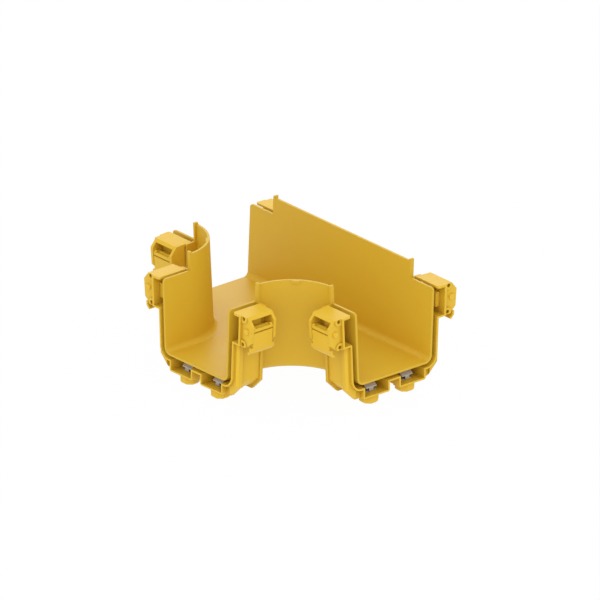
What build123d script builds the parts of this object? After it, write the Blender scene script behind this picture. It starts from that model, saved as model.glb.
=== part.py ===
"""Horizontal tee fitting for a 100 mm fibre raceway, with a coupler collar at each of its three mouths.

The run lies along X and the branch leaves towards -Y. Heights are measured from the top of the
trough floor while the pieces are drawn, and the whole fitting is then set on its feet at Z = 0,
centred on its overall footprint.

A coupler is drawn once, in its own frame: X points out of the mouth, Y goes across the channel,
and the mouth plane is X = 0. It is then turned to each of the three mouths.
"""
from build123d import *
from math import cos, radians
import os

# Trough
mouth_reach = 145.5           # centre of the crossing to each mouth
coupler_depth = 36.0          # mouth to the flange that the collar seats on
floor_half_width = 47.6       # inside, at the floor
wall_draft = 0.0444           # outward lean of every wall, per mm of height
wall = 2.5
floor = 2.5
end_wall_height = 80.0
raised_wall_height = 98.4
inner_corner_radius = 6.0
mouth_corner_radius = 3.5
clear = 1.0                   # how far a cut runs past the face it opens
snap = 0.01                   # tolerance for picking edges by their place

# Flange at the foot of each collar
flange = 2.5
flange_stand = 2.0            # height of its posts above the raised walls
post_proud = 2.2              # how far the posts stand out from the walls

# Cover stop on each curved wall
stop_width = 9.0
stop_height = 3.0
stop_proud = 1.6
stop_round = 1.3

# Collar
side_slot = 5.3               # gap that takes the side of the joining channel
under_slot = 4.3              # gap that takes its floor
collar_wall = 6.8
collar_height = 46.3          # top of the collar's sides, the floor of the wide slot
ring_depth = 10.0
rear_rim = 1.2
rim_inset = 1.4               # the rear rim and the flange behind it are narrower than the ring
panel_recess = 3.0
corner_chamfer = 13.0
slot_corner_radius = 12.0
ring_bevel = 2.2
lip = 1.9                     # thickness of the rim round the slot
lip_proud = 3.0               # how far it stands in front of the ring
sole = 2.0                    # thickness of the collar's floor

# Pockets and feet under the collar
pocket_inner = 8.5            # near side of each pocket, from the middle
pocket_width = 31.5
pocket_depth = 10.7
pocket_length = 26.0
pocket_wall = 2.0
pocket_floor = 1.8
pocket_chamfer = 1.5
corner_notch = 6.0
foot_across = 24.3
foot_back = 12.8
foot_flats = 19.7
foot_drop = 10.2              # below the pocket's underside
foot_chamfer = 2.2

# Latch housing
housing_wall_offset = 2.8     # ledge beside the collar's side
housing_wall = 2.6
housing_rise = 32.3           # at the crown, the roof's outer bend
plate = 2.5
plate_gap = 5.4               # between the top plate and the trough's wall
plate_corner = 1.5
brim = 2.6                    # width of the roof's bent outer edge
brim_lean = 1.6
brim_depth = 1.3
cheek = 3.5
cheek_setback = 2.6
cheek_base = 9.9              # widths from the housing's wall
cheek_belly = 17.3
cheek_shoulder = 18.9
cheek_crown = 11.9
belly_rise = 4.4
shoulder_drop = 8.5
boss_radius = 4.8             # bosses on the front cheek, each with a core hole
boss_proud = 1.2
upper_boss_out = 7.4          # hole's middle from the housing's wall
upper_boss_drop = 2.3         # and below the crown
lower_boss_out = 5.7
lower_boss_rise = 1.0
core_hole = 2.1

# Latch lever, pin and grip pad
pivot_out = 11.4              # pivot from the housing's wall
pivot_rise = 16.5
pin_radius = 2.0
pin_head_radius = 3.3
pin_head = 1.8
pin_fit = 0.06
hub_radius = 3.6
pad_travel = 2.2
lever_swing = 60.0            # degrees, closed to open
lever_gap = 0.4
cam_gap = 0.3
cam_length = 13.0
paddle = 2.2
paddle_out = 6.3              # outer face from the pivot
paddle_top = 1.4              # below the pivot
paddle_drop = 22.2
paddle_lean = 1.6
paddle_lip = 4.1
paddle_flare = 2.7            # how far the grip widens past the cheeks' inner faces
paddle_shoulder = 17.6
lip_bevel = 1.5               # slanted end of the grip
heel_rise = 0.9
hub_root = 1.0                # where paddle and ledge start, outwards from the pivot
root_sink = 0.2
thumb_groove = 1.2
thumb_ledge = 3.1
ledge_root = 2.0
ledge_bevel = 0.7
lug_radius = 2.0
lug_length = 3.0
lug_inset = 2.2
pad_length = 15.4
pad_height = 16.3
pad_proud = 4.6
pad_setback = 8.8
pad_drop = 10.1               # underside of the pad below the pivot
pad_flange = 2.2
pad_bevel = 0.6
pad_fit = 0.5
pad_gap = 0.3

# Spring clip and its screw
clip_width = 14.5
clip_thickness = 0.9
clip_base = 16.0
clip_leg_width = 5.5
clip_leg_height = 5.2
clip_tongue_back = 5.6
clip_tongue_rise = 4.6
clip_front = 8.4
tongue_end = 0.6
screw_radius = 2.4
screw_play = 0.2
screw_head_radius = 4.3
screw_head = 2.6
screw_recess = 3.8
screw_stick_out = 1.6

# Each mouth: its name, its turn about Z, and the names of its +Y and -Y sides in the coupler's frame
mouths = [
    ("right", 0, "rear", "front"),
    ("left", 180, "front", "rear"),
    ("branch", -90, "right", "left"),
]

# Values worked out from the sizes above
flange_plane = mouth_reach - coupler_depth
curve_radius = flange_plane - floor_half_width
slot_floor = -floor - under_slot
pocket_bottom = slot_floor - pocket_depth
pocket_underside = pocket_bottom - pocket_floor
ring_bottom = pocket_underside
foot_bottom = pocket_underside - foot_drop
pocket_outer = pocket_inner + pocket_width
overrun = 20.0                # how far the trough is drawn past its mouths before they are cut


def trough_half(z):
    """Inside half width of the trough at a height."""
    return floor_half_width + wall_draft * z


def slot_half(z):
    """Inside half width of the collar at a height."""
    return trough_half(z) + wall + side_slot


def collar_half(z):
    """Outside half width of the collar at a height."""
    return slot_half(z) + collar_wall


housing_base = collar_half(collar_height) + housing_wall_offset
housing_top = collar_height + housing_rise
pivot_across = housing_base + pivot_out
pivot_height = collar_height + pivot_rise
cheek_front = -cheek_setback
cheek_back = cheek_front - cheek
rear_cheek_front = -coupler_depth + cheek
housing_reach = housing_base + cheek_shoulder
cam_offset = pad_travel / (cos(radians(45)) - cos(radians(45 + lever_swing)))
cam_radius = hub_radius - cam_offset * cos(radians(45 + lever_swing))
cam_reach = cam_radius + cam_offset * cos(radians(45))
pad_back = pivot_across - cam_reach - cam_gap
pad_middle = -pad_setback - pad_length / 2
footprint_middle = (housing_reach - mouth_reach) / 2
core_holes = [
    (housing_base + upper_boss_out, housing_top - upper_boss_drop),
    (housing_base + lower_boss_out, collar_height + lower_boss_rise),
]


def section(points):
    """Flat face from (across, height) points, upright across the channel."""
    return Plane.YZ * make_face(Polyline(*points, close=True))


def slab(points, back, front):
    """Upright section drawn out along the channel from back to front."""
    return extrude(Pos(back, 0, 0) * section(points), amount=front - back, dir=(1, 0, 0))


def block(x, y, z):
    """Box from its two limits along each axis."""
    size = Box(x[1] - x[0], y[1] - y[0], z[1] - z[0])
    return Pos((x[0] + x[1]) / 2, (y[0] + y[1]) / 2, (z[0] + z[1]) / 2) * size


def rod(radius, back, front, across, height):
    """Round bar along the channel."""
    bar = Plane.YZ * Circle(radius)
    return extrude(Pos(back, across, height) * bar, amount=front - back, dir=(1, 0, 0))


def both_sides(shape):
    """The shape and its mirror image across the channel's middle."""
    return shape + mirror(shape, about=Plane.XZ)


def tee_outline(half, z):
    """Plan of the tee at a height, with quarter rounds where the branch meets the run."""
    far = mouth_reach + overrun
    bend = flange_plane
    radius = bend - half
    knee = radius * (1 - cos(radians(45)))
    right = ThreePointArc((bend, -half), (half + knee, -half - knee), (half, -bend))
    left = ThreePointArc((-half, -bend), (-half - knee, -half - knee), (-bend, -half))
    edges = [
        Polyline((-bend, -half), (-far, -half), (-far, half), (far, half), (far, -half), (bend, -half)),
        right,
        Polyline((half, -bend), (half, -far), (-half, -far), (-half, -bend)),
        left,
    ]
    return Pos(0, 0, z) * make_face(edges)


def tee_prism(extra, bottom, top, corner):
    """Drafted solid with the tee's plan, its long lower edges rounded."""
    lower = tee_outline(trough_half(bottom) + extra, bottom)
    upper = tee_outline(trough_half(top) + extra, top)
    prism = loft([lower, upper], ruled=True)
    edges = prism.edges().group_by(Axis.Z)[0]
    far = mouth_reach + overrun
    long_edges = [e for e in edges if abs(e.center().X) < far - clear and e.center().Y > clear - far]
    return fillet(long_edges, corner)


def turned(shape, angle):
    """A coupler piece carried from its own frame to a mouth of the tee."""
    return Rot(0, 0, angle) * Pos(mouth_reach, 0, 0) * shape


def ring_outline(inset=0.0, low=ring_bottom):
    """Outline of the collar, U shaped with chamfered corners, open side up. Its sides can be moved in."""
    side_low = low + corner_chamfer
    side = collar_half(side_low) - inset
    right = [
        (side - corner_chamfer, low),
        (side, side_low),
        (collar_half(collar_height) - inset, collar_height),
    ]
    return right + [(-v, z) for v, z in reversed(right)]


def slot_face(grow, top):
    """Section of the space inside the collar up to a height, grown evenly on its three sides."""
    base = slot_floor - grow
    low = slot_half(base) + grow
    high = slot_half(top) + grow
    face = make_face(Polyline((-low, base), (low, base), (high, top), (-high, top), close=True))
    corners = face.vertices().group_by(Axis.Y)[0]
    return Plane.YZ * fillet(corners, slot_corner_radius + grow)


def roof_top(v):
    """Height of the latch housing's roof, which is square to the leaning walls."""
    return housing_top + wall_draft * (housing_base + cheek_crown - v)


def flange_plate():
    """Cross plate at the foot of the collar, with the posts that end the raised walls."""
    post_top = raised_wall_height + flange_stand
    shelf = housing_base
    low = trough_half(housing_top) + wall + post_proud
    high = trough_half(post_top) + wall + post_proud
    side = [
        (shelf, collar_height),
        (shelf, roof_top(shelf)),
        (low, roof_top(low)),
        (high, post_top),
    ]
    base = ring_outline(rim_inset)
    points = base[:3] + side + [(-v, z) for v, z in reversed(side)] + base[3:]
    return slab(points, -coupler_depth - flange, -coupler_depth)


def cover_stop(side):
    """Rounded stop on the outside of a curved wall, at the middle of its top edge."""
    top = raised_wall_height
    radius = flange_plane - trough_half(top) - wall
    pad = Box(stop_proud + wall / 2, stop_width, stop_height)
    pad = fillet(pad.edges().filter_by(Axis.X), stop_round)
    pad = Pos(-(radius - stop_proud / 2 + wall / 4), 0, top - stop_height / 2) * pad
    pad = Pos(flange_plane, -flange_plane, 0) * Rot(0, 0, -45) * pad
    return pad if side > 0 else mirror(pad, about=Plane.YZ)


def tee_body():
    """The trough with its raised walls, curved inside walls and the three flanges."""
    corner = inner_corner_radius + wall
    shell = tee_prism(wall, -floor, raised_wall_height, corner)
    keep = block((-mouth_reach, mouth_reach), (-mouth_reach, mouth_reach), (-floor, raised_wall_height))
    shell = shell & keep
    wide = mouth_reach
    cut = block((0, coupler_depth), (-wide, wide), (end_wall_height, raised_wall_height + clear))
    for _, angle, _, _ in mouths:
        shell -= Rot(0, 0, angle) * Pos(flange_plane, 0, 0) * cut
        shell += turned(flange_plate(), angle)
    shell += cover_stop(1)
    shell += cover_stop(-1)
    top = raised_wall_height + flange_stand + clear
    shell -= tee_prism(0, 0, top, inner_corner_radius)
    tips = [e for e in shell.edges().filter_by(GeomType.LINE) if is_mouth_tip(e)]
    return fillet(tips, mouth_corner_radius)


def is_mouth_tip(edge):
    """True for the short top edges of the end walls, in the mouth planes."""
    centre = edge.center()
    at_mouth = max(abs(centre.X), -centre.Y) > mouth_reach - snap
    at_top = abs(centre.Z - end_wall_height) < snap
    return at_mouth and at_top and edge.length < 2 * wall


def collar_shell():
    """Ring with its front lip, recessed panel and rear rim, before the pockets are cut."""
    slot = slot_face(0, collar_height + clear)
    rim = Pos(-coupler_depth, 0, 0) * (section(ring_outline(rim_inset)) - slot)
    inner = ring_outline(panel_recess, ring_bottom + panel_recess)
    panel = Pos(-coupler_depth, 0, 0) * (section(inner) - slot)
    ring = Pos(-ring_depth, 0, 0) * (section(ring_outline()) - slot)
    ring = extrude(ring, amount=ring_depth - lip_proud, dir=(1, 0, 0))
    front = ring.faces().sort_by(Axis.X)[-1]
    ring = chamfer([e for e in front.edges() if is_outer(e)], ring_bevel)
    edge = Pos(-ring_depth, 0, 0) * (slot_face(lip, collar_height) - slot)
    return (
        ring
        + extrude(edge, amount=ring_depth, dir=(1, 0, 0))
        + extrude(panel, amount=coupler_depth - ring_depth, dir=(1, 0, 0))
        + extrude(rim, amount=rear_rim, dir=(1, 0, 0))
    )


def is_outer(edge):
    """True for the edges round the outside of the ring: both sides, both chamfers and the underside."""
    centre = edge.center()
    middle = collar_half(centre.Z) - collar_wall / 2
    below_top = centre.Z < collar_height - snap
    return below_top and (abs(centre.Y) > middle or centre.Z < slot_floor - snap)


def pocket_box():
    """Walls and floor of one pocket."""
    box = block(
        (-pocket_length - pocket_wall, 0),
        (pocket_inner - pocket_wall, pocket_outer + pocket_wall),
        (pocket_underside, slot_floor),
    )
    lower = box.edges().filter_by(Axis.X).group_by(Axis.Z)[0]
    return chamfer(lower, pocket_chamfer)


def foot():
    """Eight-sided foot under a pocket, with its lower edge chamfered."""
    across_corners = foot_flats / 2 / cos(radians(22.5))
    shape = RegularPolygon(across_corners, 8, rotation=22.5)
    post = extrude(shape, amount=foot_drop + pocket_floor)
    post = chamfer(post.faces().sort_by(Axis.Z)[0].edges(), foot_chamfer)
    return Pos(-foot_back, foot_across, foot_bottom) * post


def foot_bore():
    """Stepped hole up through a foot for the clip's screw."""
    upright = (Align.CENTER, Align.CENTER, Align.MIN)
    shank = Cylinder(screw_radius + screw_play, foot_drop + pocket_floor + clear, align=upright)
    head = Cylinder(screw_head_radius + screw_play, screw_recess + clear, align=upright)
    head = Pos(0, 0, -clear) * head
    return Pos(-foot_back, foot_across, foot_bottom) * (shank + head)


def cheek_outline():
    """Outline of the housing's end plates."""
    return [
        (housing_base + housing_wall / 2, collar_height - sole),
        (housing_base + cheek_base, collar_height - sole),
        (housing_base + cheek_belly, collar_height + belly_rise),
        (housing_reach, housing_top - shoulder_drop),
        (housing_base + cheek_crown, housing_top),
        (housing_base + housing_wall / 2, roof_top(housing_base + housing_wall / 2)),
    ]


def wall_face(z):
    """Slot side of the housing's wall at a height."""
    return housing_base + wall_draft * (z - collar_height)


def housing_wall_plate():
    """Upright wall between the wide slot and the latch."""
    low = collar_height - sole
    points = [
        (wall_face(low), low),
        (wall_face(low) + housing_wall, low),
        (wall_face(housing_top) + housing_wall, housing_top),
        (wall_face(housing_top), housing_top),
    ]
    return slab(points, -coupler_depth, 0)


def top_plate():
    """Roof of the housing, its outer edge bent down and its front inner corner cut off."""
    edge = trough_half(housing_top) + wall + plate_gap
    crown = housing_base + cheek_crown
    tip = crown + brim
    tip_top = housing_top - brim * shoulder_drop / (cheek_shoulder - cheek_crown)
    bend = tip - brim_lean - brim
    points = [
        (edge, roof_top(edge) - plate),
        (bend, roof_top(bend) - plate),
        (tip - brim_lean, tip_top - brim_depth),
        (tip, tip_top),
        (crown, housing_top),
        (edge, roof_top(edge)),
    ]
    end = wall_face(housing_top) + housing_wall
    nose_points = [
        (edge, roof_top(edge) - plate),
        (end, roof_top(end) - plate),
        (end, roof_top(end)),
        (edge, roof_top(edge)),
    ]
    side = plate_corner * 2 ** 0.5
    corner = Pos(0, edge, housing_top) * Rot(0, 0, 45) * Box(side, side, 3 * plate)
    return slab(points, -coupler_depth, cheek_front) + slab(nose_points, cheek_front, 0) - corner


def core_bosses():
    """Two bosses in front of the front cheek, joined to the wall's edge."""
    root = housing_base + housing_wall / 2
    front = cheek_front + boss_proud
    shape = slab(cheek_outline(), cheek_front, front)
    lobes = []
    for across, height in core_holes:
        height_span = (height - boss_radius, height + boss_radius)
        arm = block((cheek_front, front), (root, across), height_span)
        lobes.append(rod(boss_radius, cheek_front, front, across, height) + arm)
    return shape & (lobes[0] + lobes[1])


def latch_housing():
    """Housing on the collar's side for one latch."""
    low = collar_height - sole
    ledge_span = (slot_half(collar_height) + lip / 2, wall_face(low) + housing_wall)
    ledge = block((-coupler_depth, 0), ledge_span, (low, collar_height))
    shape = ledge + housing_wall_plate() + top_plate()
    for back in (cheek_back, -coupler_depth):
        shape += slab(cheek_outline(), back, back + cheek)
    shape += core_bosses()
    for across, height in core_holes:
        shape -= rod(core_hole, cheek_back, clear, across, height)
    window_low = pivot_height - pad_drop - pad_fit
    shape -= block(
        (-pad_setback - pad_length - pad_fit, -pad_setback + pad_fit),
        (housing_base - clear, housing_base + 2 * housing_wall),
        (window_low, window_low + pad_height + 2 * pad_fit),
    )
    return shape - rod(pin_radius, -coupler_depth, 0, pivot_across, pivot_height)


def collar():
    """One coupler collar: ring, pockets, feet and the two latch housings."""
    shape = collar_shell()
    sole_bottom = slot_floor - sole
    low = pocket_underside - clear
    gap = pocket_inner - pocket_wall
    under = block((-coupler_depth + rear_rim, 0), (-gap, gap), (low, sole_bottom))
    panel_end = collar_half(ring_bottom + corner_chamfer) - corner_chamfer
    panel = block((-coupler_depth + rear_rim, -ring_depth), (-panel_end, panel_end), (low, sole_bottom))
    notch = block((-corner_notch, 0), (pocket_outer, panel_end + clear), (low, sole_bottom))
    shape -= under
    shape -= panel
    shape -= both_sides(notch)
    shape += both_sides(pocket_box() + foot())
    hollow = block((-pocket_length, clear), (pocket_inner, pocket_outer), (pocket_bottom, slot_floor + clear))
    shape -= both_sides(hollow)
    shape -= both_sides(foot_bore())
    shape += both_sides(latch_housing())
    return shape


def lever():
    """Latch lever: hub and round cam on the pin, thumb ledge and the long paddle."""
    front = cheek_back - lever_gap
    back = rear_cheek_front + lever_gap
    hub = rod(hub_radius, back, front, pivot_across, pivot_height)
    lean = cam_offset * cos(radians(45))
    cam_back = pad_middle - cam_length / 2
    cam = rod(cam_radius, cam_back, cam_back + cam_length, pivot_across - lean, pivot_height - lean)
    outer = pivot_across + paddle_out
    root = pivot_across + hub_root
    top = pivot_height - paddle_top
    low = pivot_height - paddle_drop
    tip = low - paddle_lip
    bend = outer - paddle_lean
    plate_points = [
        (outer, top),
        (bend, low),
        (bend - paddle_lip, tip),
        (bend - paddle_lip - lip_bevel, tip + lip_bevel),
        (bend - paddle, low + heel_rise),
        (outer - paddle, top - paddle),
        (root, pivot_height - hub_radius + root_sink),
        (root, top),
    ]
    blade = slab(plate_points, back, front)
    grip = slab(plate_points, rear_cheek_front - paddle_flare, cheek_back + paddle_flare)
    reach = (pivot_across - paddle_out, outer + clear)
    grip &= block((-coupler_depth, 0), reach, (tip - clear, pivot_height - paddle_shoulder))
    ledge_low = top + thumb_groove
    ledge_top = ledge_low + thumb_ledge
    ledge_points = [
        (pivot_across + ledge_root, ledge_low),
        (outer, ledge_low),
        (outer, ledge_top - ledge_bevel),
        (outer - ledge_bevel, ledge_top),
        (root, ledge_top),
    ]
    shape = hub + cam + blade + grip + slab(ledge_points, back, front)
    for x in (front - lug_length, back):
        shape += rod(lug_radius, x, x + lug_length, outer - lug_inset, ledge_top)
    return shape - rod(pin_radius + pin_fit, back - clear, front + clear, pivot_across, pivot_height)


def pivot_pin():
    """Headed pin that the lever turns on."""
    shank = rod(pin_radius, -coupler_depth, cheek_front, pivot_across, pivot_height)
    return shank + rod(pin_head_radius, cheek_front, cheek_front + pin_head, pivot_across, pivot_height)


def grip_pad():
    """Pad that the cam presses through the wall's window against the joining channel."""
    low = pivot_height - pad_drop
    high = low + pad_height
    nose_points = [
        (wall_face(low) - pad_proud, low),
        (pad_back, low),
        (pad_back, high),
        (wall_face(high) - pad_proud, high),
    ]
    front = -pad_setback
    back = front - pad_length
    nose = slab(nose_points, back, front)
    tip = nose.faces().sort_by(Axis.Y)[0].edges()
    nose = chamfer(tip, pad_bevel)
    rim_low = low - pad_flange
    rim_high = high + pad_flange
    skin = housing_wall + pad_gap
    flange_points = [
        (wall_face(rim_low) + skin, rim_low),
        (pad_back, rim_low),
        (pad_back, rim_high),
        (wall_face(rim_high) + skin, rim_high),
    ]
    return nose + slab(flange_points, back - pad_flange, front + pad_flange)


def spring_clip():
    """Steel strip clip in a pocket: base under the screw, narrow leg and raised tongue."""
    low = pocket_bottom
    top = low + clip_leg_height
    half = clip_width / 2
    leg_half = clip_leg_width / 2
    leg_back = -clip_front - clip_thickness
    tongue_back = -clip_front - clip_tongue_back
    tongue_top = top + clip_tongue_rise
    base = block((-clip_front - clip_base, -clip_front), (-half, half), (low, low + clip_thickness))
    base -= Pos(-foot_back, 0, low) * Cylinder(screw_radius, 4 * clip_thickness)
    leg = block((leg_back, -clip_front), (-leg_half, leg_half), (low, top))
    slant = Polyline(
        (-clip_front, top - clip_thickness),
        (-clip_front, top),
        (tongue_back, tongue_top),
        (tongue_back - tongue_end, tongue_top - tongue_end),
        (leg_back, top - clip_thickness),
        close=True,
    )
    tongue = extrude(Plane.XZ * make_face(slant), amount=half, both=True)
    return Pos(0, foot_across, 0) * (base + leg + tongue)


def clip_screw():
    """Pan-head screw up through a foot into the clip."""
    head_top = foot_bottom + screw_recess
    head_low = head_top - screw_head
    tip = pocket_bottom + clip_thickness + screw_stick_out
    upright = (Align.CENTER, Align.CENTER, Align.MIN)
    head = Pos(0, 0, head_low) * Cylinder(screw_head_radius, screw_head, align=upright)
    shank = Pos(0, 0, head_top) * Cylinder(screw_radius, tip - head_top, align=upright)
    return Pos(-foot_back, foot_across, 0) * (shank + head)


def save(shape, name):
    """Set a piece on the ground plane and write it."""
    placed = Pos(0, -footprint_middle, -foot_bottom) * shape
    export_step(placed, os.path.join("parts", name + ".step"))


side_pieces = {
    "latch_lever": lever,
    "grip_pad": grip_pad,
    "pivot_pin": pivot_pin,
    "spring_clip": spring_clip,
    "clip_screw": clip_screw,
}


def main():
    os.makedirs("parts", exist_ok=True)
    save(tee_body(), "tee_body")
    ring = collar()
    pieces = {name: make() for name, make in side_pieces.items()}
    for mouth, angle, plus_side, minus_side in mouths:
        save(turned(ring, angle), mouth + "_collar")
        for name, piece in pieces.items():
            save(turned(piece, angle), mouth + "_" + plus_side + "_" + name)
            mirrored = mirror(piece, about=Plane.XZ)
            save(turned(mirrored, angle), mouth + "_" + minus_side + "_" + name)


main()
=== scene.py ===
"""Finish for a raceway tee: yellow moulded plastic, sprung steel clips, a pale stage and the camera.

Laid out as an add-on and run as a script. Every length is in metres and every piece sits in the frame of the
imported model: the run lies along X, the branch leaves towards -Y and the feet stand on Z = 0.
"""
from math import cos, pi, radians, sin, tan

import bmesh
import bpy
from bpy.props import FloatProperty, FloatVectorProperty, IntProperty, PointerProperty
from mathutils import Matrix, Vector


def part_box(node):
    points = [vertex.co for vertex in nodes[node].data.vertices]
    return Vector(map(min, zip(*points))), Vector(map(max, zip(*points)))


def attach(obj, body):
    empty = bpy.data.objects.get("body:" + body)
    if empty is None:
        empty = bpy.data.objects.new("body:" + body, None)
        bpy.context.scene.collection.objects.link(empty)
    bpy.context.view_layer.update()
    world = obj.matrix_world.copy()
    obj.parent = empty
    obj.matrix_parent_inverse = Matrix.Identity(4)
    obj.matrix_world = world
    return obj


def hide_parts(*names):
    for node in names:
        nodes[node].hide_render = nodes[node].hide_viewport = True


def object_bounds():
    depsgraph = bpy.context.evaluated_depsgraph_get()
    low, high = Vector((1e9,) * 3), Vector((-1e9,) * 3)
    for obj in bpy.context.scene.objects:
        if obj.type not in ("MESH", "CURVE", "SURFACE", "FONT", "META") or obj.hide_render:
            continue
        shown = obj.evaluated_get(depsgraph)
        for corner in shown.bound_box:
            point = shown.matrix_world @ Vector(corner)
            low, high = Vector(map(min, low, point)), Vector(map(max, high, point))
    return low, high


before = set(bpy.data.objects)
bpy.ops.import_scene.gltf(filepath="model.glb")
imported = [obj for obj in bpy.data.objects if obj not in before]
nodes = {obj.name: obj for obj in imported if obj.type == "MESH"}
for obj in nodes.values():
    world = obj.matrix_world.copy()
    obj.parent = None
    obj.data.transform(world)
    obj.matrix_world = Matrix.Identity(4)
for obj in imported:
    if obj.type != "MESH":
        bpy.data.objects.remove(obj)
cad_low, cad_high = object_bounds()

bl_info = {
    "name": "Raceway tee finish",
    "version": (1, 0, 0),
    "blender": (4, 5, 0),
    "location": "View3D > Sidebar > Raceway",
    "description": "Dresses a yellow raceway tee with its plastic, its steel clips and a pale stage",
    "category": "Object",
}

# The six latches, each with a clip and a screw in the pocket below it.
SIDES = ("right_rear", "right_front", "left_front", "left_rear", "branch_right", "branch_left")

# Which way each mouth faces, as a turn from +X.
HEADINGS = {"right": 0.0, "left": pi, "branch": -pi / 2}

# Each plastic: its roughness against a plain moulded face, and how far the flow of the resin shows.
PLASTICS = {
    "Trough plastic": (0.0, 0.55),
    "Collar plastic": (0.02, 0.40),
    "Lever plastic": (-0.05, 0.30),
    "Pad plastic": (0.08, 0.30),
    "Pin plastic": (-0.02, 0.20),
}
PIT_SHARE = 0.4  # height of the grain's pits against its ripples
GLOSS_DRIFT = 0.16  # how far the roughness drifts from place to place
NOISE_MEAN = 0.5
# EDGE_GAIN: how soon a rounded edge takes the paler edge colour, which is partly wear and partly a painted
# highlight.
EDGE_GAIN = 3.0  # how soon a rounded edge counts as rubbed

# Each steel: its roughness against the setting.
STEELS = {"Spring strip": 0.0, "Plated screw": -0.06}
MARK_STRETCH = (120.0, 6000.0, 6000.0)  # the rolling marks are coarse along X and fine across it
MARK_ROUGHNESS = 0.12  # how much rougher a mark is
MARK_DEPTH = 0.000004
STAIN_FLOOR = 0.82  # brightness of the darkest stain
STAIN_RANGE = 0.35

CORNER_STEPS = 8  # steps round a corner of the clip's blank
SHOULDER_STEPS = 5  # steps round a shoulder of the blank's neck
BEND_STEPS = 8
HOLE_POINTS = 32
ON_PLANE = 1e-7  # distance at which a point counts as lying on a cutting plane
SHARP_EDGE = radians(32.0)  # edges that turn by more are shaded sharp
CUT_EDGE = radians(50.0)  # edges of the strip that turn by more are rounded

FLAT_SHARE = 0.5  # radius of the first ring on the screw's head against the flat face
RIM_STEPS = 6  # steps round the rim of the head
RINGS_PER_TURN = 8
TIP_CUT = 1.5  # how far the tip is cut back, in depths of the thread
SLOT_LENGTH = 3.0  # length of the slot's cutter in head radii, which leaves the head at both ends
SLOT_TURN = radians(50.0)  # from one screw's driver slot to the next one's

# Each lamp: its setting for power, its direction from the tee, its distance and the side of its square.
LAMPS = {
    "Key lamp": ("key", (0.62, -0.58, 0.55), 1.5, 1.3),
    "Fill lamp": ("fill", (-0.72, 0.60, 0.33), 1.6, 1.0),
    "Front lamp": ("front", (0.763, -0.647, 0.25), 1.6, 1.2),
}
FLOOR_ROUGHNESS = 0.9
CAMERA_DISTANCE = 2.0


class PlasticSettings(bpy.types.PropertyGroup):
    """Colour and surface of the moulded yellow plastic."""
    face: FloatVectorProperty(
        name="Face colour", description="Colour of the collars and the latches", subtype="COLOR",
        size=3, min=0.0, max=1.0, default=(0.740, 0.470, 0.034))
    # Trough colour: deeper than the collars' colour, which paints in the shade that falls inside the trough.
    trough_face: FloatVectorProperty(
        name="Trough colour", description="Colour of the trough, deeper than the collars' one",
        subtype="COLOR", size=3, min=0.0, max=1.0, default=(0.640, 0.412, 0.031))
    deep: FloatVectorProperty(
        name="Deep colour", description="Colour where the resin flowed thicker", subtype="COLOR",
        size=3, min=0.0, max=1.0, default=(0.690, 0.425, 0.024))
    # Edge colour: paler rubbed wear on the edges, which also serves as a painted highlight along them.
    edge_wear_and_highlight: FloatVectorProperty(
        name="Edge colour", description="Paler colour of rubbed edges", subtype="COLOR",
        size=3, min=0.0, max=1.0, default=(0.830, 0.560, 0.070))
    # Painted shade: collars and pins are darkened towards this colour in deep corners, standing in for the
    # shade that falls there.
    shade: FloatVectorProperty(
        name="Shaded colour", description="Colour that collars and pins tend to in deep corners",
        subtype="COLOR", size=3, min=0.0, max=1.0, default=(0.480, 0.262, 0.011))
    # Painted shade, lighter: the trough, levers and pads are darkened towards this colour in deep corners.
    light_shade: FloatVectorProperty(
        name="Light shaded colour", description="Colour that trough, levers and pads tend to in deep corners",
        subtype="COLOR", size=3, min=0.0, max=1.0, default=(0.640, 0.360, 0.015))
    # Reach of the painted shade round each point.
    shade_reach: FloatProperty(
        name="Shade reach", description="How far round a point the piece's other walls shade it",
        unit="LENGTH", min=0.0, max=0.5, default=0.045)
    roughness: FloatProperty(
        name="Roughness", description="Roughness of a plain moulded face", subtype="FACTOR",
        min=0.0, max=1.0, default=0.46)
    specular: FloatProperty(
        name="Gloss level", description="How strongly the plastic mirrors its surroundings", subtype="FACTOR",
        min=0.0, max=1.0, default=0.20)
    grain_size: FloatProperty(
        name="Grain size", description="Size of the fine mould grain", unit="LENGTH",
        min=0.0001, max=0.01, default=0.0007)
    grain_depth: FloatProperty(
        name="Grain depth", description="Depth of the fine mould grain", unit="LENGTH",
        min=0.0, max=0.001, default=0.00003)
    edge_width: FloatProperty(
        name="Edge width", description="Radius of the rounding that a mould leaves on an edge", unit="LENGTH",
        min=0.0, max=0.003, default=0.0005)


class SteelSettings(bpy.types.PropertyGroup):
    """Colour and surface of the steel clips and screws."""
    strip: FloatVectorProperty(
        name="Strip colour", description="Colour of the spring strip", subtype="COLOR",
        size=3, min=0.0, max=1.0, default=(0.490, 0.455, 0.405))
    plating: FloatVectorProperty(
        name="Plating colour", description="Colour of the plated screws", subtype="COLOR",
        size=3, min=0.0, max=1.0, default=(0.520, 0.520, 0.540))
    roughness: FloatProperty(
        name="Roughness", description="Roughness across the brushing", subtype="FACTOR",
        min=0.0, max=1.0, default=0.46)
    # Painted shade: the steel is darkened towards this colour in its bends and corners, standing in for the
    # shade there; shade_reach sets how far it reaches.
    shade: FloatVectorProperty(
        name="Shaded colour", description="Colour that the steel tends to in its bends and corners",
        subtype="COLOR", size=3, min=0.0, max=1.0, default=(0.120, 0.080, 0.030))
    shade_reach: FloatProperty(
        name="Shade reach", description="How near the steel has to come to itself to be shaded",
        unit="LENGTH", min=0.0, max=0.1, default=0.006)
    mirror: FloatProperty(
        name="Mirror", description="How metallic the dull surface of the strip looks", subtype="FACTOR",
        min=0.0, max=1.0, default=0.35)


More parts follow.
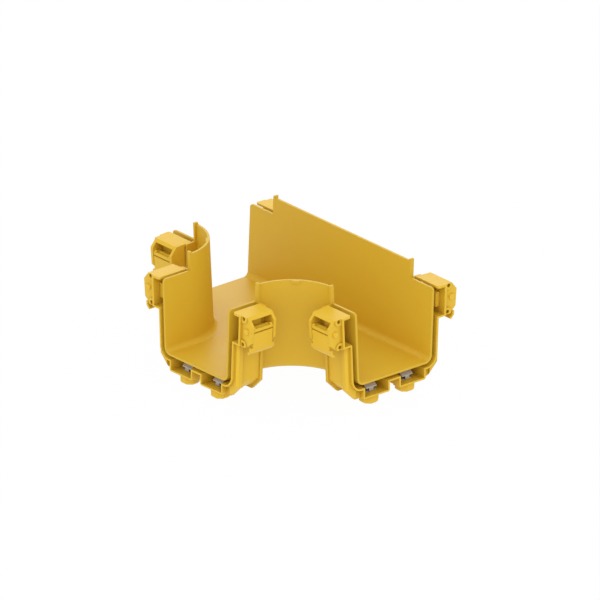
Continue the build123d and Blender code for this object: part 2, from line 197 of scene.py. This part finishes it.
class ClipSettings(bpy.types.PropertyGroup):
    """The steel clip in a pocket, one strip bent up at the front, measured from its screw's axis."""
    width: FloatProperty(
        name="Width", description="Width of the base and of the tongue", unit="LENGTH",
        min=0.001, default=0.0145)
    neck: FloatProperty(
        name="Neck width", description="Width of the upright leg", unit="LENGTH", min=0.001, default=0.0055)
    thickness: FloatProperty(
        name="Thickness", description="Thickness of the strip", unit="LENGTH", min=0.0002, default=0.0009)
    back: FloatProperty(
        name="Back", description="Reach of the base behind the screw", unit="LENGTH", min=0.0, default=0.0116)
    front: FloatProperty(
        name="Front", description="Distance from the screw to the leg's middle plane", unit="LENGTH",
        min=0.0, default=0.00395)
    leg_top: FloatProperty(
        name="Leg top", description="Height at which the leg turns into the tongue", unit="LENGTH",
        min=0.0, default=0.00499)
    tongue_length: FloatProperty(
        name="Tongue length", description="Length of the slanting tongue", unit="LENGTH",
        min=0.0, default=0.00704)
    tongue_turn: FloatProperty(
        name="Tongue turn", description="Angle by which the tongue leans back from the leg", unit="ROTATION",
        default=radians(50.6))
    bend: FloatProperty(
        name="Bend radius", description="Radius of each bend, to the middle of the strip", unit="LENGTH",
        min=0.0005, default=0.0011)
    corner: FloatProperty(
        name="Corner radius", description="Radius of the blank's outer corners", unit="LENGTH",
        min=0.0001, default=0.0016)
    shoulder: FloatProperty(
        name="Shoulder radius", description="Radius where the blank narrows to the leg", unit="LENGTH",
        min=0.0001, default=0.0004)
    burr: FloatProperty(
        name="Edge rounding", description="Rounding of the strip's cut edges", unit="LENGTH",
        min=0.0, default=0.00012)
    hole: FloatProperty(
        name="Hole radius", description="Radius of the hole for the screw", unit="LENGTH",
        min=0.0, default=0.0024)


class ScrewSettings(bpy.types.PropertyGroup):
    """The pan-head screw that holds a clip, head down in the foot."""
    head_radius: FloatProperty(
        name="Head radius", description="Radius of the pan head", unit="LENGTH", min=0.0, default=0.0043)
    head_height: FloatProperty(
        name="Head height", description="Height of the pan head", unit="LENGTH", min=0.0, default=0.0026)
    head_round: FloatProperty(
        name="Head rounding", description="Rounding of the head's lower rim", unit="LENGTH",
        min=0.0, default=0.0012)
    slot_width: FloatProperty(
        name="Slot width", description="Width of the driver slot", unit="LENGTH", min=0.0, default=0.0011)
    slot_depth: FloatProperty(
        name="Slot depth", description="Depth of the driver slot", unit="LENGTH", min=0.0, default=0.0013)
    shank: FloatProperty(
        name="Shank radius", description="Radius over the thread", unit="LENGTH", min=0.0, default=0.00238)
    pitch: FloatProperty(
        name="Pitch", description="Distance from one turn of the thread to the next", unit="LENGTH",
        min=0.0002, default=0.0008)
    thread_depth: FloatProperty(
        name="Thread depth", description="Depth of the thread", unit="LENGTH", min=0.0, default=0.0004)
    threaded: FloatProperty(
        name="Threaded length", description="Length of thread below the tip", unit="LENGTH",
        min=0.0, default=0.0056)
    around: IntProperty(
        name="Facets", description="Points around the shank", min=8, default=28)


class StageSettings(bpy.types.PropertyGroup):
    """Floor, lamps and camera."""
    floor_colour: FloatVectorProperty(
        name="Floor colour", description="Colour of the pale floor", subtype="COLOR",
        size=3, min=0.0, max=1.0, default=(0.86, 0.86, 0.86))
    floor_size: FloatProperty(
        name="Floor size", description="Side of the square floor", unit="LENGTH", min=1.0, default=8.0)
    glow: FloatProperty(
        name="Glow", description="How far the floor shines by itself, like a light table", subtype="FACTOR",
        min=0.0, max=1.0, default=0.95)
    shadow: FloatProperty(
        name="Shadow", description="How much of the floor's shading shows to the camera", subtype="FACTOR",
        min=0.0, max=1.0, default=0.02)
    sky: FloatProperty(
        name="Sky", description="Strength of the soft light from the horizon", min=0.0, default=0.82)
    zenith: FloatProperty(
        name="Zenith", description="Strength of the soft light from straight above", min=0.0, default=1.12)
    key: FloatProperty(
        name="Key lamp", description="Power of the large soft lamp above the camera", unit="POWER",
        min=0.0, default=3.0)
    fill: FloatProperty(
        name="Fill lamp", description="Power of the low soft lamp behind and to the left", unit="POWER",
        min=0.0, default=5.0)
    front: FloatProperty(
        name="Front lamp", description="Power of the low soft lamp in front", unit="POWER",
        min=0.0, default=3.0)
    azimuth: FloatProperty(
        name="Azimuth", description="Camera direction round the tee, from straight in front of the branch",
        unit="ROTATION", default=radians(49.71))
    elevation: FloatProperty(
        name="Elevation", description="Camera height above the horizon", unit="ROTATION",
        default=radians(23.20))
    span: FloatProperty(
        name="Span", description="Width of the view", unit="LENGTH", min=0.05, default=0.6194)
    target: FloatVectorProperty(
        name="Target", description="Point at the centre of the view", subtype="XYZ_LENGTH", size=3,
        default=(0.0092, 0.01717, 0.0695))


def plug(tree, socket, value):
    """Link an input to a socket, or set it to a constant."""
    if isinstance(value, bpy.types.NodeSocket):
        tree.links.new(value, socket)
    else:
        socket.default_value = value


def feed(tree, node, **inputs):
    """Link or set a node's named inputs; an underscore stands for a space."""
    for name, value in inputs.items():
        plug(tree, node.inputs[name.replace("_", " ")], value)


def add(tree, kind, **inputs):
    """A node with its named inputs linked or set."""
    node = tree.nodes.new(kind)
    feed(tree, node, **inputs)
    return node


def math_node(tree, operation, first, second):
    """A math node; each operand is a socket or a number."""
    node = tree.nodes.new("ShaderNodeMath")
    node.operation = operation
    plug(tree, node.inputs[0], first)
    plug(tree, node.inputs[1], second)
    return node.outputs["Value"]


def mix_colours(tree, mask, first, second):
    """A colour mix steered by a mask; each colour is a socket or a constant."""
    node = tree.nodes.new("ShaderNodeMix")
    node.data_type = "RGBA"
    feed(tree, node, Factor=mask, A=first, B=second)
    return node.outputs["Result"]


def own_place(tree):
    """Position in the piece's own coordinates."""
    return tree.nodes.new("ShaderNodeTexCoord").outputs["Object"]


def new_group(name, inputs, outputs):
    """An empty shader node group, with its input and output nodes."""
    tree = bpy.data.node_groups.new(name, "ShaderNodeTree")
    for label, kind in inputs:
        tree.interface.new_socket(name=label, in_out="INPUT", socket_type=kind)
    for label, kind in outputs:
        tree.interface.new_socket(name=label, in_out="OUTPUT", socket_type=kind)
    return tree, tree.nodes.new("NodeGroupInput"), tree.nodes.new("NodeGroupOutput")


def resin_flow_group():
    """Slow drift of colour where the resin flowed, along the part's own coordinates."""
    tree, given, result = new_group(
        "Resin flow",
        [("Face", "NodeSocketColor"), ("Deep", "NodeSocketColor"), ("Amount", "NodeSocketFloat")],
        [("Color", "NodeSocketColor")])
    flow = add(
        tree, "ShaderNodeTexNoise", Vector=own_place(tree), Scale=14.0, Detail=3.0, Roughness=0.55,
        Distortion=0.6)
    mask = math_node(tree, "MULTIPLY", flow.outputs["Fac"], given.outputs["Amount"])
    feed(tree, result, Color=mix_colours(tree, mask, given.outputs["Face"], given.outputs["Deep"]))
    return tree


def painted_shade_group():
    """Painted shade: a deeper colour in corners and channels, where a piece's own walls would shade one
    another.
    """
    tree, given, result = new_group(
        "Recess shade",
        [("Color", "NodeSocketColor"), ("Shade", "NodeSocketColor"), ("Reach", "NodeSocketFloat")],
        [("Color", "NodeSocketColor")])
    hollow = add(tree, "ShaderNodeAmbientOcclusion", Distance=given.outputs["Reach"])
    hollow.samples = 8
    hollow.only_local = True
    # Painted shade: the colour darkens towards Shade as the piece's own walls close round a point.
    colour = mix_colours(tree, hollow.outputs["AO"], given.outputs["Shade"], given.outputs["Color"])
    feed(tree, result, Color=colour)
    return tree


def mould_grain_group():
    """Fine grain of a spark-finished mould: a height, and the unevenness of the gloss."""
    tree, given, result = new_group(
        "Mould grain",
        [("Size", "NodeSocketFloat"), ("Gloss", "NodeSocketFloat")],
        [("Height", "NodeSocketFloat"), ("Roughness", "NodeSocketFloat")])
    place = own_place(tree)
    scale = math_node(tree, "DIVIDE", 1.0, given.outputs["Size"])
    grain = add(tree, "ShaderNodeTexNoise", Vector=place, Scale=scale, Detail=2.0, Roughness=0.6)
    pits = add(tree, "ShaderNodeTexVoronoi", Vector=place, Scale=scale)
    sunk = math_node(tree, "MULTIPLY", pits.outputs["Distance"], PIT_SHARE)
    smear = add(tree, "ShaderNodeTexNoise", Vector=place, Scale=22.0, Detail=4.0, Roughness=0.65)
    uneven = math_node(tree, "SUBTRACT", smear.outputs["Fac"], NOISE_MEAN)
    drift = math_node(tree, "MULTIPLY", uneven, GLOSS_DRIFT)
    feed(
        tree, result,
        Height=math_node(tree, "ADD", grain.outputs["Fac"], sunk),
        Roughness=math_node(tree, "ADD", given.outputs["Gloss"], drift))
    return tree


def edge_wear_and_highlight_group():
    """Edges rounded by the mould: their normal, and a broken-up mask along them for a paler colour that is
    partly rubbed wear and partly painted highlight.
    """
    tree, given, result = new_group(
        "Rubbed edges",
        [("Width", "NodeSocketFloat")],
        [("Mask", "NodeSocketFloat"), ("Normal", "NodeSocketVector")])
    rounding = add(tree, "ShaderNodeBevel", Radius=given.outputs["Width"])
    rounding.samples = 4
    surface = tree.nodes.new("ShaderNodeNewGeometry")
    turn = tree.nodes.new("ShaderNodeVectorMath")
    turn.operation = "DOT_PRODUCT"
    plug(tree, turn.inputs[0], rounding.outputs["Normal"])
    plug(tree, turn.inputs[1], surface.outputs["Normal"])
    bend = math_node(tree, "SUBTRACT", 1.0, turn.outputs["Value"])
    breaks = add(tree, "ShaderNodeTexNoise", Vector=own_place(tree), Scale=180.0, Detail=3.0)
    # The edge mask carries both wear and a painted highlight along the rounded edges.
    rubbed_and_lit = math_node(tree, "MULTIPLY", bend, EDGE_GAIN)
    clamp = add(
        tree, "ShaderNodeClamp",
        Value=math_node(tree, "MULTIPLY", rubbed_and_lit, breaks.outputs["Fac"]))
    feed(tree, result, Mask=clamp.outputs["Result"], Normal=rounding.outputs["Normal"])
    return tree


def brushed_group():
    """Fine parallel marks of rolled or brushed steel, along the part's own X."""
    tree, given, result = new_group(
        "Brushed steel",
        [("Base", "NodeSocketColor"), ("Gloss", "NodeSocketFloat")],
        [("Color", "NodeSocketColor"), ("Roughness", "NodeSocketFloat"), ("Height", "NodeSocketFloat")])
    place = own_place(tree)
    stretch = add(tree, "ShaderNodeMapping", Vector=place, Scale=MARK_STRETCH)
    lines = add(
        tree, "ShaderNodeTexNoise", Vector=stretch.outputs["Vector"], Scale=1.0, Detail=4.0, Roughness=0.7)
    stains = add(tree, "ShaderNodeTexNoise", Vector=place, Scale=160.0, Detail=3.0)
    stained = math_node(tree, "MULTIPLY", stains.outputs["Fac"], STAIN_RANGE)
    level = math_node(tree, "ADD", stained, STAIN_FLOOR)
    shade = add(tree, "ShaderNodeHueSaturation", Color=given.outputs["Base"], Value=level)
    marked = math_node(tree, "MULTIPLY", lines.outputs["Fac"], MARK_ROUGHNESS)
    feed(
        tree, result,
        Color=shade.outputs["Color"],
        Roughness=math_node(tree, "ADD", given.outputs["Gloss"], marked),
        Height=lines.outputs["Fac"])
    return tree


def group_node(tree, name, maker, **inputs):
    """A node that places the named group, made at its first use."""
    node = tree.nodes.new("ShaderNodeGroup")
    node.node_tree = bpy.data.node_groups.get(name) or maker()
    feed(tree, node, **inputs)
    return node


def new_material(name):
    """A material with an empty tree, its Principled shader wired to the output."""
    material = bpy.data.materials.new(name)
    material.use_nodes = True
    tree = material.node_tree
    tree.nodes.clear()
    shader = tree.nodes.new("ShaderNodeBsdfPrincipled")
    add(tree, "ShaderNodeOutputMaterial", Surface=shader.outputs["BSDF"])
    return material, tree, shader


def moulded_plastic(name, face, shade):
    """Yellow moulded plastic with the named finish, its colour and the colour of its painted shade in deep
    corners.
    """
    found = bpy.data.materials.get(name)
    if found:
        return found
    look = bpy.context.scene.raceway_plastic
    roughness_shift, flow = PLASTICS[name]
    material, tree, shader = new_material(name)
    colour = group_node(
        tree, "Resin flow", resin_flow_group, Face=(*face, 1.0), Deep=(*look.deep, 1.0), Amount=flow)
    edges = group_node(tree, "Rubbed edges", edge_wear_and_highlight_group, Width=look.edge_width)
    grain = group_node(
        tree, "Mould grain", mould_grain_group, Size=look.grain_size, Gloss=look.roughness + roughness_shift)
    # Paler edges: partly rubbed wear, partly a painted highlight along the rounded edges.
    body = mix_colours(tree, edges.outputs["Mask"], colour.outputs["Color"], (*look.edge_wear_and_highlight, 1.0))
    # Painted shade in corners and channels, from how closely the piece's own walls close round each point.
    painted_shade = group_node(
        tree, "Recess shade", painted_shade_group, Color=body, Shade=(*shade, 1.0), Reach=look.shade_reach)
    bump = add(
        tree, "ShaderNodeBump",
        Distance=look.grain_depth, Height=grain.outputs["Height"], Normal=edges.outputs["Normal"])
    feed(
        tree, shader,
        Base_Color=painted_shade.outputs["Color"],
        Roughness=grain.outputs["Roughness"],
        Specular_IOR_Level=look.specular,
        Normal=bump.outputs["Normal"])
    return material


def steel(name, colour, metallic=1.0):
    """Brushed or plated steel with the named finish and painted shade in its bends and corners; a dull
    coating makes it less metallic.
    """
    look = bpy.context.scene.raceway_steel
    material, tree, shader = new_material(name)
    brushed = group_node(
        tree, "Brushed steel", brushed_group, Base=(*colour, 1.0), Gloss=look.roughness + STEELS[name])
    bump = add(tree, "ShaderNodeBump", Distance=MARK_DEPTH, Height=brushed.outputs["Height"])
    # Painted shade: the steel darkens towards its shaded colour where its own bends and corners close round a
    # point.
    painted_shade = group_node(
        tree, "Recess shade", painted_shade_group,
        Color=brushed.outputs["Color"], Shade=(*look.shade, 1.0), Reach=look.shade_reach)
    feed(
        tree, shader,
        Base_Color=painted_shade.outputs["Color"],
        Metallic=metallic,
        Roughness=brushed.outputs["Roughness"],
        Normal=bump.outputs["Normal"])
    return material


def arc(centre, radius, start, turn, steps):
    """Points along an arc, its ends included."""
    angles = [start + turn * step / steps for step in range(steps + 1)]
    return [(centre[0] + radius * cos(a), centre[1] + radius * sin(a)) for a in angles]


def blank_outline(look, neck_start, neck_end, length):
    """Outline of the flat blank: x runs along the strip, y across it."""
    half, slim, corner, shoulder = look.width / 2, look.neck / 2, look.corner, look.shoulder
    side = arc((corner, half - corner), corner, pi, -pi / 2, CORNER_STEPS)
    side += arc((neck_start - shoulder, half - shoulder), shoulder, pi / 2, -pi / 2, SHOULDER_STEPS)
    side += arc((neck_start + shoulder, slim + shoulder), shoulder, pi, pi / 2, SHOULDER_STEPS)
    side += arc((neck_end - shoulder, slim + shoulder), shoulder, -pi / 2, pi / 2, SHOULDER_STEPS)
    side += arc((neck_end + shoulder, half - shoulder), shoulder, pi, -pi / 2, SHOULDER_STEPS)
    side += arc((length - corner, half - corner), corner, pi / 2, -pi / 2, CORNER_STEPS)
    return side + [(x, -y) for x, y in reversed(side)]


def bent(bends, start, along, across, rise):
    """Where a point of the flat blank goes once the strip is bent; each bend is (place, radius, turn)."""
    x, z = start
    lean = 0.0
    reached = 0.0
    for place, radius, turn in bends:
        plain = min(along, place) - reached
        x, z = x + plain * cos(lean), z + plain * sin(lean)
        if along <= place:
            reached = along
            break
        part = min(1.0, (along - place) / (radius * turn))
        swung = lean + part * turn
        x += radius * (sin(swung) - sin(lean))
        z += radius * (cos(lean) - cos(swung))
        lean = swung
        reached = min(along, place + radius * turn)
        if part < 1.0:
            break
    x, z = x + (along - reached) * cos(lean), z + (along - reached) * sin(lean)
    return Vector((x - rise * sin(lean), across, z + rise * cos(lean)))


def add_loop(mesh, points):
    """A closed loop of edges through points of the plane."""
    corners = [mesh.verts.new((x, y, 0.0)) for x, y in points]
    return [mesh.edges.new((a, b)) for a, b in zip(corners, corners[1:] + corners[:1])]


def clip_mesh(look):
    """The clip: a flat blank with its hole, given its thickness and bent twice."""
    base = look.back + look.front
    leg = look.leg_top - look.thickness / 2
    # A bend starts this far before the corner in which its two flat stretches would meet.
    upright_setback = look.bend
    tongue_setback = look.bend * tan(look.tongue_turn / 2)
    bend_one = base - upright_setback
    bend_two = bend_one + look.bend * pi / 2 + leg - upright_setback - tongue_setback
    tongue = bend_two + look.bend * look.tongue_turn
    length = tongue + look.tongue_length - tongue_setback
    bends = ((bend_one, look.bend, pi / 2), (bend_two, look.bend, look.tongue_turn))
    mesh = bmesh.new()
    edges = add_loop(mesh, blank_outline(look, bend_one, bend_two, length))
    last = HOLE_POINTS - 1
    edges += add_loop(mesh, arc((look.back, 0.0), look.hole, 0.0, 2 * pi * last / HOLE_POINTS, last))
    bmesh.ops.triangle_fill(mesh, edges=edges, use_beauty=True)
    for place, radius, turn in bends:
        for step in range(BEND_STEPS + 1):
            cut = place + radius * turn * step / BEND_STEPS
            bmesh.ops.bisect_plane(
                mesh, geom=mesh.verts[:] + mesh.edges[:] + mesh.faces[:], plane_co=(cut, 0.0, 0.0),
                plane_no=(1.0, 0.0, 0.0), dist=ON_PLANE)
    thick = bmesh.ops.extrude_face_region(mesh, geom=mesh.faces[:], use_keep_orig=True)
    upper = [part for part in thick["geom"] if isinstance(part, bmesh.types.BMVert)]
    bmesh.ops.translate(mesh, verts=upper, vec=(0.0, 0.0, look.thickness))
    for corner in mesh.verts:
        x, y, z = corner.co
        corner.co = bent(bends, (-look.back, look.thickness / 2), x, y, z - look.thickness / 2)
    bmesh.ops.recalc_face_normals(mesh, faces=mesh.faces[:])
    return finished_mesh("Spring clip", mesh)


def finished_mesh(name, mesh):
    """Mesh data from a work mesh, smooth but for its sharp edges."""
    data = bpy.data.meshes.new(name)
    mesh.to_mesh(data)
    mesh.free()
    data.shade_smooth()
    data.set_sharp_from_angle(angle=SHARP_EDGE)
    return data


def add_ring(mesh, radii, height):
    """A level ring of points about the Z axis, with a radius for each point."""
    count = len(radii)
    ring = []
    for step, radius in enumerate(radii):
        angle = 2 * pi * step / count
        ring.append(mesh.verts.new((radius * cos(angle), radius * sin(angle), height)))
    return ring


def join_rings(mesh, rings):
    """Faces between each ring and the next, and a cap on the first and the last."""
    for low, high in zip(rings, rings[1:]):
        for a, b, c, d in zip(low, low[1:] + low[:1], high[1:] + high[:1], high):
            mesh.faces.new((a, b, c, d))
    mesh.faces.new(list(reversed(rings[0])))
    mesh.faces.new(rings[-1])


def thread_radius(look, height, step, tip):
    """Radius at a height and a step round the shank: the thread fades in, and the tip is cut away."""
    phase = (height / look.pitch - step / look.around) % 1.0
    tooth = 1.0 - abs(2.0 * phase - 1.0)
    depth = look.thread_depth * min(1.0, max(0.0, (height - tip + look.threaded) / look.pitch))
    return min(look.shank - depth * tooth, look.shank - TIP_CUT * look.thread_depth + (tip - height))


def screw_mesh(look, tip):
    """The screw on its head: rounded rim, plain shank, threaded tip. Heights are from the head's face."""
    mesh = bmesh.new()
    inner = look.head_radius - look.head_round
    thread_start = tip - look.threaded
    profile = [(inner * FLAT_SHARE, 0.0)]
    for step in range(RIM_STEPS + 1):
        angle = radians(90.0 * step / RIM_STEPS)
        profile.append((inner + look.head_round * sin(angle), look.head_round * (1.0 - cos(angle))))
    profile += [(look.head_radius, look.head_height), (look.shank, look.head_height)]
    profile.append((look.shank, thread_start))
    rings = [add_ring(mesh, [radius] * look.around, height) for radius, height in profile]
    rises = RINGS_PER_TURN * round(look.threaded / look.pitch)
    for rise in range(1, rises + 1):
        height = thread_start + look.threaded * rise / rises
        radii = [thread_radius(look, height, step, tip) for step in range(look.around)]
        rings.append(add_ring(mesh, radii, height))
    join_rings(mesh, rings)
    bmesh.ops.recalc_face_normals(mesh, faces=mesh.faces[:])
    return finished_mesh("Clip screw", mesh)


def cut_slot(piece, look):
    """Mesh data of the screw with the driver slot cut across its head."""
    bpy.ops.mesh.primitive_cube_add(size=1.0)
    cutter = bpy.context.object
    cutter.scale = (look.head_radius * SLOT_LENGTH, look.slot_width, look.slot_depth * 2.0)
    cut = piece.modifiers.new("Slot", "BOOLEAN")
    cut.operation = "DIFFERENCE"
    cut.solver = "EXACT"
    cut.object = cutter
    data = bpy.data.meshes.new_from_object(piece.evaluated_get(bpy.context.evaluated_depsgraph_get()))
    piece.modifiers.clear()
    bpy.data.objects.remove(cutter)
    return data


def place_piece(side, part, data, low, material, turn=0.0):
    """Stand a piece on its screw's axis, in place of its frame node."""
    node = side + "_" + part
    screw_low, screw_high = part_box(side + "_clip_screw")
    middle = (screw_low + screw_high) / 2
    piece = bpy.data.objects.new(node + "_piece", data)
    piece.location = (middle.x, middle.y, low)
    piece.rotation_euler.z = HEADINGS[side.split("_")[0]] + turn
    bpy.context.scene.collection.objects.link(piece)
    if not piece.material_slots:
        data.materials.append(None)
    piece.material_slots[0].link = "OBJECT"
    piece.material_slots[0].material = material
    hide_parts(node)
    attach(piece, "fitting")
    return piece


def dress(name, material):
    """Give a frame node its material, in a slot of its own object."""
    piece = nodes[name]
    slot = piece.material_slots[0]
    slot.link = "OBJECT"
    slot.material = material


class RACEWAY_OT_trough(bpy.types.Operator):
    """Dress the one-piece trough in moulded plastic"""
    bl_idname = "raceway.trough"
    bl_label = "Trough"

    def execute(self, context):
        look = context.scene.raceway_plastic
        dress("tee_body", moulded_plastic("Trough plastic", look.trough_face, look.light_shade))
        return {"FINISHED"}


class RACEWAY_OT_collars(bpy.types.Operator):
    """Dress the three coupler collars in moulded plastic"""
    bl_idname = "raceway.collars"
    bl_label = "Collars"

    def execute(self, context):
        look = context.scene.raceway_plastic
        for mouth in HEADINGS:
            dress(mouth + "_collar", moulded_plastic("Collar plastic", look.face, look.shade))
        return {"FINISHED"}


class RACEWAY_OT_latches(bpy.types.Operator):
    """Dress the levers, pins and grip pads of the six latches"""
    bl_idname = "raceway.latches"
    bl_label = "Latches"

    def execute(self, context):
        look = context.scene.raceway_plastic
        for side in SIDES:
            dress(side + "_latch_lever", moulded_plastic("Lever plastic", look.face, look.light_shade))
            dress(side + "_grip_pad", moulded_plastic("Pad plastic", look.face, look.light_shade))
            dress(side + "_pivot_pin", moulded_plastic("Pin plastic", look.face, look.shade))
        return {"FINISHED"}


class RACEWAY_OT_clips(bpy.types.Operator):
    """Bend the six steel clips and set them in their pockets"""
    bl_idname = "raceway.clips"
    bl_label = "Spring clips"

    def execute(self, context):
        look = context.scene.raceway_clip
        finish = context.scene.raceway_steel
        data = clip_mesh(look)
        material = steel("Spring strip", finish.strip, finish.mirror)
        for side in SIDES:
            low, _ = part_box(side + "_spring_clip")
            piece = place_piece(side, "spring_clip", data, low.z, material)
            rounding = piece.modifiers.new("Cut edges", "BEVEL")
            rounding.width = look.burr
            rounding.segments = 2
            rounding.angle_limit = CUT_EDGE
        return {"FINISHED"}


class RACEWAY_OT_screws(bpy.types.Operator):
    """Turn the six screws and set them under the clips"""
    bl_idname = "raceway.screws"
    bl_label = "Clip screws"

    def execute(self, context):
        look = context.scene.raceway_screw
        low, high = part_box(SIDES[0] + "_clip_screw")
        plain = bpy.data.objects.new("plain_screw", screw_mesh(look, high.z - low.z))
        context.scene.collection.objects.link(plain)
        data = cut_slot(plain, look)
        bpy.data.objects.remove(plain)
        material = steel("Plated screw", context.scene.raceway_steel.plating)
        for count, side in enumerate(SIDES):
            place_piece(side, "clip_screw", data, low.z, material, SLOT_TURN * count)
        return {"FINISHED"}


def seen_directly(tree):
    """A mask that is 1 for camera, glossy and transmission rays."""
    rays = tree.nodes.new("ShaderNodeLightPath")
    mirror = math_node(tree, "MAXIMUM", rays.outputs["Is Glossy Ray"], rays.outputs["Is Transmission Ray"])
    return math_node(tree, "MAXIMUM", rays.outputs["Is Camera Ray"], mirror)


def stage_world(look):
    """White to the eye; to the object, a soft light that grows from the horizon to straight above."""
    world = bpy.data.worlds.new("Pale studio")
    world.use_nodes = True
    tree = world.node_tree
    place = tree.nodes.new("ShaderNodeTexCoord")
    split = add(tree, "ShaderNodeSeparateXYZ", Vector=place.outputs["Generated"])
    height = add(
        tree, "ShaderNodeMapRange", Value=split.outputs["Z"], To_Min=look.sky, To_Max=look.zenith)
    feed(
        tree, tree.nodes["Background"],
        Color=(1.0, 1.0, 1.0, 1.0),
        Strength=math_node(tree, "MAXIMUM", seen_directly(tree), height.outputs["Result"]))
    return world


def floor_material(look):
    """Pale floor that keeps a faint shadow, and is clear when it is seen from below."""
    material, tree, shader = new_material("Pale floor")
    feed(
        tree, shader,
        Base_Color=(*look.floor_colour, 1.0), Roughness=FLOOR_ROUGHNESS, Specular_IOR_Level=0.0)
    white = tree.nodes.new("ShaderNodeEmission")
    rays = tree.nodes.new("ShaderNodeLightPath")
    shown = math_node(tree, "MULTIPLY", rays.outputs["Is Camera Ray"], 1.0 - look.shadow - look.glow)
    blend = add(tree, "ShaderNodeMixShader", Fac=math_node(tree, "ADD", shown, look.glow))
    plug(tree, blend.inputs[1], shader.outputs["BSDF"])
    plug(tree, blend.inputs[2], white.outputs["Emission"])
    clear = tree.nodes.new("ShaderNodeBsdfTransparent")
    surface = tree.nodes.new("ShaderNodeNewGeometry")
    below = add(tree, "ShaderNodeMixShader", Fac=surface.outputs["Backfacing"])
    plug(tree, below.inputs[1], blend.outputs["Shader"])
    plug(tree, below.inputs[2], clear.outputs["BSDF"])
    feed(tree, tree.nodes["Material Output"], Surface=below.outputs["Shader"])
    return material


def soft_lamp(name, direction, distance, side, power):
    """A large square lamp that looks at the middle of the tee."""
    data = bpy.data.lights.new(name, "AREA")
    data.shape = "SQUARE"
    data.size = side
    data.energy = power
    lamp = bpy.data.objects.new(name, data)
    towards = Vector(direction).normalized()
    middle = (cad_low + cad_high) / 2
    lamp.location = middle + towards * distance
    lamp.rotation_mode = "QUATERNION"
    lamp.rotation_quaternion = (-towards).to_track_quat("-Z", "Y")
    bpy.context.scene.collection.objects.link(lamp)


def stage_camera(look):
    """The camera of the reference view: a parallel view from the right of the branch."""
    data = bpy.data.cameras.new("Camera")
    data.type = "ORTHO"
    data.ortho_scale = look.span
    camera = bpy.data.objects.new("Camera", data)
    back = Vector((
        sin(look.azimuth) * cos(look.elevation),
        -cos(look.azimuth) * cos(look.elevation),
        sin(look.elevation)))
    camera.location = Vector(look.target) + back * CAMERA_DISTANCE
    camera.rotation_mode = "QUATERNION"
    camera.rotation_quaternion = (-back).to_track_quat("-Z", "Y")
    bpy.context.scene.collection.objects.link(camera)
    bpy.context.scene.camera = camera


class RACEWAY_OT_stage(bpy.types.Operator):
    """Lay the pale floor, hang the soft lamps and set the camera"""
    bl_idname = "raceway.stage"
    bl_label = "Stage"

    def execute(self, context):
        look = context.scene.raceway_stage
        context.scene.world = stage_world(look)
        bpy.ops.mesh.primitive_plane_add(size=look.floor_size, location=(0.0, 0.0, cad_low.z))
        floor = context.object
        floor.name = "stage_floor"
        floor.data.materials.append(floor_material(look))
        for name, (setting, direction, distance, side) in LAMPS.items():
            soft_lamp(name, direction, distance, side, getattr(look, setting))
        stage_camera(look)
        context.scene.view_settings.view_transform = "Standard"
        return {"FINISHED"}


class RACEWAY_PT_panel(bpy.types.Panel):
    """Lists the tee's groups of pieces and their settings"""
    bl_idname = "RACEWAY_PT_panel"
    bl_label = "Raceway tee"
    bl_space_type = "VIEW_3D"
    bl_region_type = "UI"
    bl_category = "Raceway"

    def draw(self, context):
        layout = self.layout
        for operator in OPERATORS:
            layout.operator(operator.bl_idname)
        for name, settings in SETTINGS.items():
            box = layout.box()
            values = getattr(context.scene, name)
            for key in settings.__annotations__:
                box.prop(values, key)


SETTINGS = {
    "raceway_plastic": PlasticSettings,
    "raceway_steel": SteelSettings,
    "raceway_clip": ClipSettings,
    "raceway_screw": ScrewSettings,
    "raceway_stage": StageSettings,
}
OPERATORS = (
    RACEWAY_OT_trough,
    RACEWAY_OT_collars,
    RACEWAY_OT_latches,
    RACEWAY_OT_clips,
    RACEWAY_OT_screws,
    RACEWAY_OT_stage,
)


def register():
    """Make the settings, the operators and the panel known."""
    for part in (*SETTINGS.values(), *OPERATORS, RACEWAY_PT_panel):
        bpy.utils.register_class(part)
    for name, settings in SETTINGS.items():
        setattr(bpy.types.Scene, name, PointerProperty(type=settings))


def unregister():
    """Take the panel, the operators and the settings away again."""
    for name in SETTINGS:
        delattr(bpy.types.Scene, name)
    for part in reversed((*SETTINGS.values(), *OPERATORS, RACEWAY_PT_panel)):
        bpy.utils.unregister_class(part)


def main():
    """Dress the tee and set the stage."""
    register()
    bpy.ops.raceway.trough()
    bpy.ops.raceway.collars()
    bpy.ops.raceway.latches()
    bpy.ops.raceway.clips()
    bpy.ops.raceway.screws()
    bpy.ops.raceway.stage()


if __name__ == "__main__":
    main()
